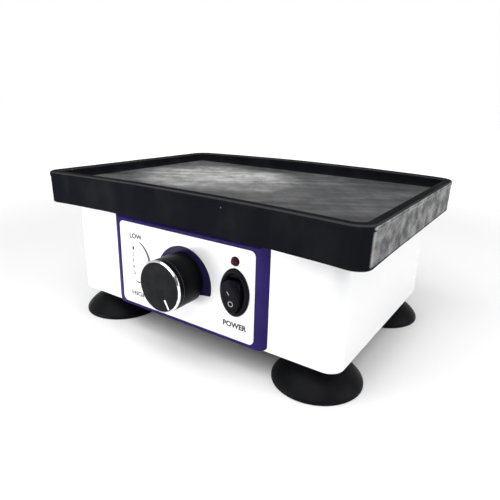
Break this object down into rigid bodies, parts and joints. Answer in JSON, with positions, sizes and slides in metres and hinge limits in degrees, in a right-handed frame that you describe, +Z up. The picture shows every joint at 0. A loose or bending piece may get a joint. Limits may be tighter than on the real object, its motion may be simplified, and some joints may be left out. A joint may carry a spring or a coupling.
{
  "type": "orbital shaker",
  "caption": "Small bench shaker: a black rimmed rubber tray that orbits on a white casing with a speed knob, power rocker and lamp, on suction feet.",
  "frame": {"origin": "centre of the whole part's footprint on the bench: in X the tray's middle, in Y midway between the knob's face and the tray's back edge; Z = 0 is the bench under the suction feet", "axes": "+X to the right along the front, +Y to the back, +Z up; the controls face -Y"},
  "size_m": [0.24, 0.1854, 0.107],
  "materials": {
    "casing": "glossy white moulded ABS",
    "base": "black powder coat",
    "panel": "violet moulded plastic, satin",
    "label": "white printed overlay",
    "lamp": "red lamp, unlit",
    "black_plastic": "black moulded plastic, fine grain",
    "knob": "black satin",
    "bright_ring": "turned and polished",
    "steel": "zinc plated",
    "aluminium": "machined",
    "bronze": "sintered bronze",
    "brass": "turned brass",
    "cast_iron": "cast",
    "foot_rubber": "black rubber, satin",
    "tray_rubber": "black rubber with pale dust",
    "belt_rubber": "matt black",
    "board": "green solder mask",
    "blue_sleeve": "blue plastic sleeve",
    "copper": "enamelled copper wire",
    "iron_core": "varnished laminations",
    "nylon": "natural nylon",
    "fuse_glass": "clear glass with end caps"
  },
  "bodies": {
    "housing": {"casing_shell": "casing", "base_plate": "base", "base_screws": "steel", "front_panel": "panel", "panel_label": "label", "lamp_lens": "lamp", "lamp_clip": "black_plastic", "switch_housing": "black_plastic", "switch_terminals": "steel", "speed_control": "steel", "speed_control_nut": "steel", "foot_front_left": "foot_rubber", "foot_front_right": "foot_rubber", "foot_back_left": "foot_rubber", "foot_back_right": "foot_rubber", "foot_studs": "steel", "foot_nuts": "steel", "chassis_plate": "steel", "chassis_pillars": "brass", "chassis_screws": "steel", "shaft_housing": "aluminium", "housing_screws": "steel", "lower_bearing": "steel", "upper_bearing": "steel", "idler_bushes": "bronze", "drive_belt": "belt_rubber", "motor_can": "iron_core", "motor_screws": "steel", "control_board": "board", "board_posts": "nylon", "heat_sink": "aluminium", "capacitors": "blue_sleeve", "transformer_core": "iron_core", "transformer_coil": "copper", "inlet_socket": "black_plastic", "inlet_pins": "steel"},
    "crank": {"drive_shaft": "steel", "shaft_clip": "steel", "driven_pulley": "aluminium", "counterweight": "cast_iron"},
    "platform": {"platform_plate": "aluminium", "platform_hub": "aluminium", "hub_bearing": "steel", "platform_bushes": "bronze", "hub_screws": "steel"},
    "tray": {"tray": "tray_rubber"},
    "idler_front_left": {"idler_front_left": "steel"},
    "idler_front_right": {"idler_front_right": "steel"},
    "idler_back_left": {"idler_back_left": "steel"},
    "idler_back_right": {"idler_back_right": "steel"},
    "motor_rotor": {"motor_shaft": "steel", "motor_pulley": "aluminium"},
    "knob": {"speed_shaft": "steel", "knob_body": "knob", "knob_ring": "bright_ring", "knob_face": "knob", "knob_screw": "steel"},
    "rocker": {"switch_rocker": "black_plastic"},
    "fuse_drawer": {"fuse_drawer": "black_plastic", "fuse": "fuse_glass"}
  },
  "joints": [
    {"name": "orbit", "type": "hinge", "parent": "housing", "child": "crank", "pos_m": [0.00225, 0.00782, 0.06], "axis": [0, 0, 1], "continuous": true},
    {"name": "platform_turn", "type": "hinge", "parent": "crank", "child": "platform", "pos_m": [0, 0.00673, 0.09], "axis": [0, 0, 1], "continuous": true},
    {"name": "tray_lift", "type": "slide", "parent": "platform", "child": "tray", "axis": [0, 0, 1], "range_m": [0, 0.05]},
    {"name": "idler_front_left_turn", "type": "hinge", "parent": "housing", "child": "idler_front_left", "pos_m": [-0.08375, -0.03218, 0.06], "axis": [0, 0, 1], "continuous": true},
    {"name": "idler_front_right_turn", "type": "hinge", "parent": "housing", "child": "idler_front_right", "pos_m": [0.08825, -0.03218, 0.06], "axis": [0, 0, 1], "continuous": true},
    {"name": "idler_back_left_turn", "type": "hinge", "parent": "housing", "child": "idler_back_left", "pos_m": [-0.08375, 0.04782, 0.06], "axis": [0, 0, 1], "continuous": true},
    {"name": "idler_back_right_turn", "type": "hinge", "parent": "housing", "child": "idler_back_right", "pos_m": [0.08825, 0.04782, 0.06], "axis": [0, 0, 1], "continuous": true},
    {"name": "motor_turn", "type": "hinge", "parent": "housing", "child": "motor_rotor", "pos_m": [0.06625, 0.00782, 0.06], "axis": [0, 0, 1], "continuous": true},
    {"name": "knob_turn", "type": "hinge", "parent": "housing", "child": "knob", "pos_m": [0.0043, -0.06793, 0.052], "axis": [0, -1, 0], "range_deg": [0, 300]},
    {"name": "rocker_press", "type": "hinge", "parent": "housing", "child": "rocker", "pos_m": [0.04285, -0.06823, 0.0515], "axis": [-1, 0, 0], "range_deg": [0, 20]},
    {"name": "fuse_drawer_slide", "type": "slide", "parent": "housing", "child": "fuse_drawer", "axis": [0, 1, 0], "range_m": [0, 0.02]}
  ],
  "couplings": [
    {"joint": "platform_turn", "follows": "orbit", "ratio": -1},
    {"joint": "idler_front_left_turn", "follows": "orbit", "ratio": 1},
    {"joint": "idler_front_right_turn", "follows": "orbit", "ratio": 1},
    {"joint": "idler_back_left_turn", "follows": "orbit", "ratio": 1},
    {"joint": "idler_back_right_turn", "follows": "orbit", "ratio": 1},
    {"joint": "motor_turn", "follows": "orbit", "ratio": 3}
  ]
}
